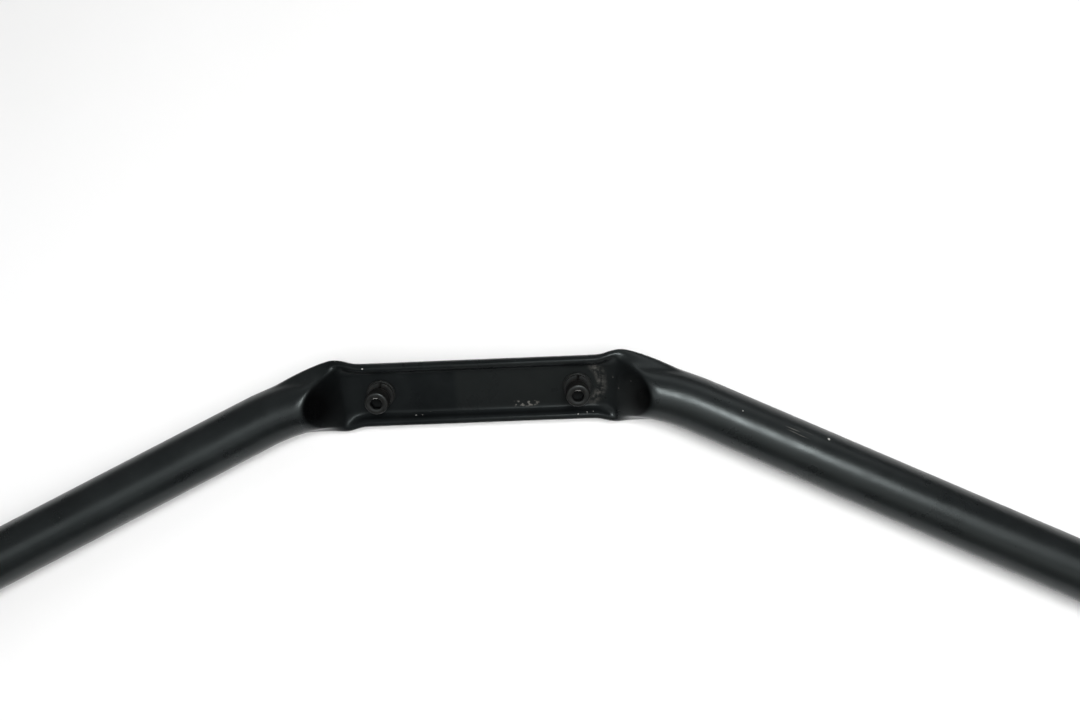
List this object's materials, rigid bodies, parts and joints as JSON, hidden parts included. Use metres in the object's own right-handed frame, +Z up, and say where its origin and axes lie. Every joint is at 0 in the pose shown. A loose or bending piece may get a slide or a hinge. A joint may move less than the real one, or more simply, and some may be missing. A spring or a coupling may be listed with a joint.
{
  "type": "strut tower brace",
  "caption": "One-piece bent tube brace with a pressed channel middle, two captive socket screws and a welded stamped plate at each end for the suspension towers.",
  "frame": {"origin": "middle of the brace's footprint, at the level of the tower plates' undersides", "axes": "+X along the pressed middle towards the right plate, +Y to the bulkhead, +Z up, square to the tower plates"},
  "size_m": [1.2206, 0.2924, 0.041],
  "materials": {
    "brace_paint": "satin black paint, faintly cool",
    "plate_paint": "satin black paint",
    "weld_paint": "satin black paint over a rippled bead",
    "screw_steel": "black oxide, lightly oiled",
    "washer_steel": "dark phosphate",
    "retainer_nylon": "matt black nylon"
  },
  "bodies": {
    "root": {"brace_tube": "brace_paint", "left_tower_plate": "plate_paint", "left_front_weld": "weld_paint", "left_rear_weld": "weld_paint", "left_toe_weld": "weld_paint", "right_tower_plate": "plate_paint", "right_front_weld": "weld_paint", "right_rear_weld": "weld_paint", "right_toe_weld": "weld_paint"},
    "left_flat_washer": {"left_flat_washer": "washer_steel"},
    "left_spring_washer": {"left_spring_washer": "washer_steel"},
    "left_screw_retainer": {"left_screw_retainer": "retainer_nylon"},
    "left_bulkhead_screw": {"left_bulkhead_screw": "screw_steel"},
    "right_flat_washer": {"right_flat_washer": "washer_steel"},
    "right_spring_washer": {"right_spring_washer": "washer_steel"},
    "right_screw_retainer": {"right_screw_retainer": "retainer_nylon"},
    "right_bulkhead_screw": {"right_bulkhead_screw": "screw_steel"}
  },
  "joints": [
    {"name": "left_flat_washer_turn", "type": "hinge", "parent": "root", "child": "left_flat_washer", "pos_m": [-0.055, 0.12951, 0.02071], "axis": [0, -0.5807, 0.8141], "continuous": true},
    {"name": "left_spring_washer_turn", "type": "hinge", "parent": "root", "child": "left_spring_washer", "pos_m": [-0.055, 0.12951, 0.02071], "axis": [0, -0.5807, 0.8141], "continuous": true},
    {"name": "left_screw_lift", "type": "slide", "parent": "root", "child": "left_screw_retainer", "axis": [0, -0.5807, 0.8141], "range_m": [-0.0033, 0]},
    {"name": "left_screw_turn", "type": "hinge", "parent": "left_screw_retainer", "child": "left_bulkhead_screw", "pos_m": [-0.055, 0.12951, 0.02071], "axis": [0, -0.5807, 0.8141], "continuous": true},
    {"name": "right_flat_washer_turn", "type": "hinge", "parent": "root", "child": "right_flat_washer", "pos_m": [0.055, 0.12951, 0.02071], "axis": [0, -0.5807, 0.8141], "continuous": true},
    {"name": "right_spring_washer_turn", "type": "hinge", "parent": "root", "child": "right_spring_washer", "pos_m": [0.055, 0.12951, 0.02071], "axis": [0, -0.5807, 0.8141], "continuous": true},
    {"name": "right_screw_lift", "type": "slide", "parent": "root", "child": "right_screw_retainer", "axis": [0, -0.5807, 0.8141], "range_m": [-0.0033, 0]},
    {"name": "right_screw_turn", "type": "hinge", "parent": "right_screw_retainer", "child": "right_bulkhead_screw", "pos_m": [0.055, 0.12951, 0.02071], "axis": [0, -0.5807, 0.8141], "continuous": true}
  ]
}
